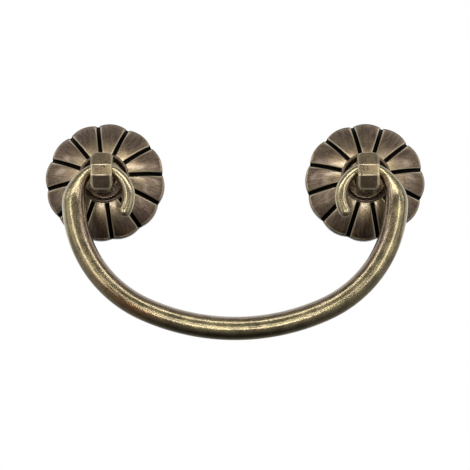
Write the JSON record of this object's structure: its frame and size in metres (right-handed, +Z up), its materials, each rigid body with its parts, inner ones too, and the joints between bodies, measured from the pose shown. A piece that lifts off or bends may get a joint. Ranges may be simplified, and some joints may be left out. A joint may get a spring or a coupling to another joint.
{
  "type": "bail pull",
  "caption": "Drop bail pull: a swan-neck bail swings in eye posts seated in petalled rosettes; fixed by screws from behind the drawer front.",
  "frame": {"origin": "on the drawer front, midway between the two screw axes", "axes": "+X along the drawer from the left post to the right post, +Y into the drawer, +Z up; the bail hangs down"},
  "size_m": [0.0933, 0.0155, 0.0554],
  "materials": {
    "bail_brass": "antiqued and relieved, satin",
    "post_brass": "antiqued and relieved, satin",
    "rosette_bronze": "dark antique bronze, brushed and relieved"
  },
  "bodies": {
    "fittings": {"rosette_left": "rosette_bronze", "rosette_right": "rosette_bronze", "eye_post_left": "post_brass", "eye_post_right": "post_brass"},
    "bail": {"bail": "bail_brass"}
  },
  "joints": [
    {"name": "bail_swing", "type": "hinge", "parent": "fittings", "child": "bail", "pos_m": [0, -0.0127, 0.0007], "axis": [-1, 0, 0], "range_deg": [-14.5, 194.5]}
  ]
}
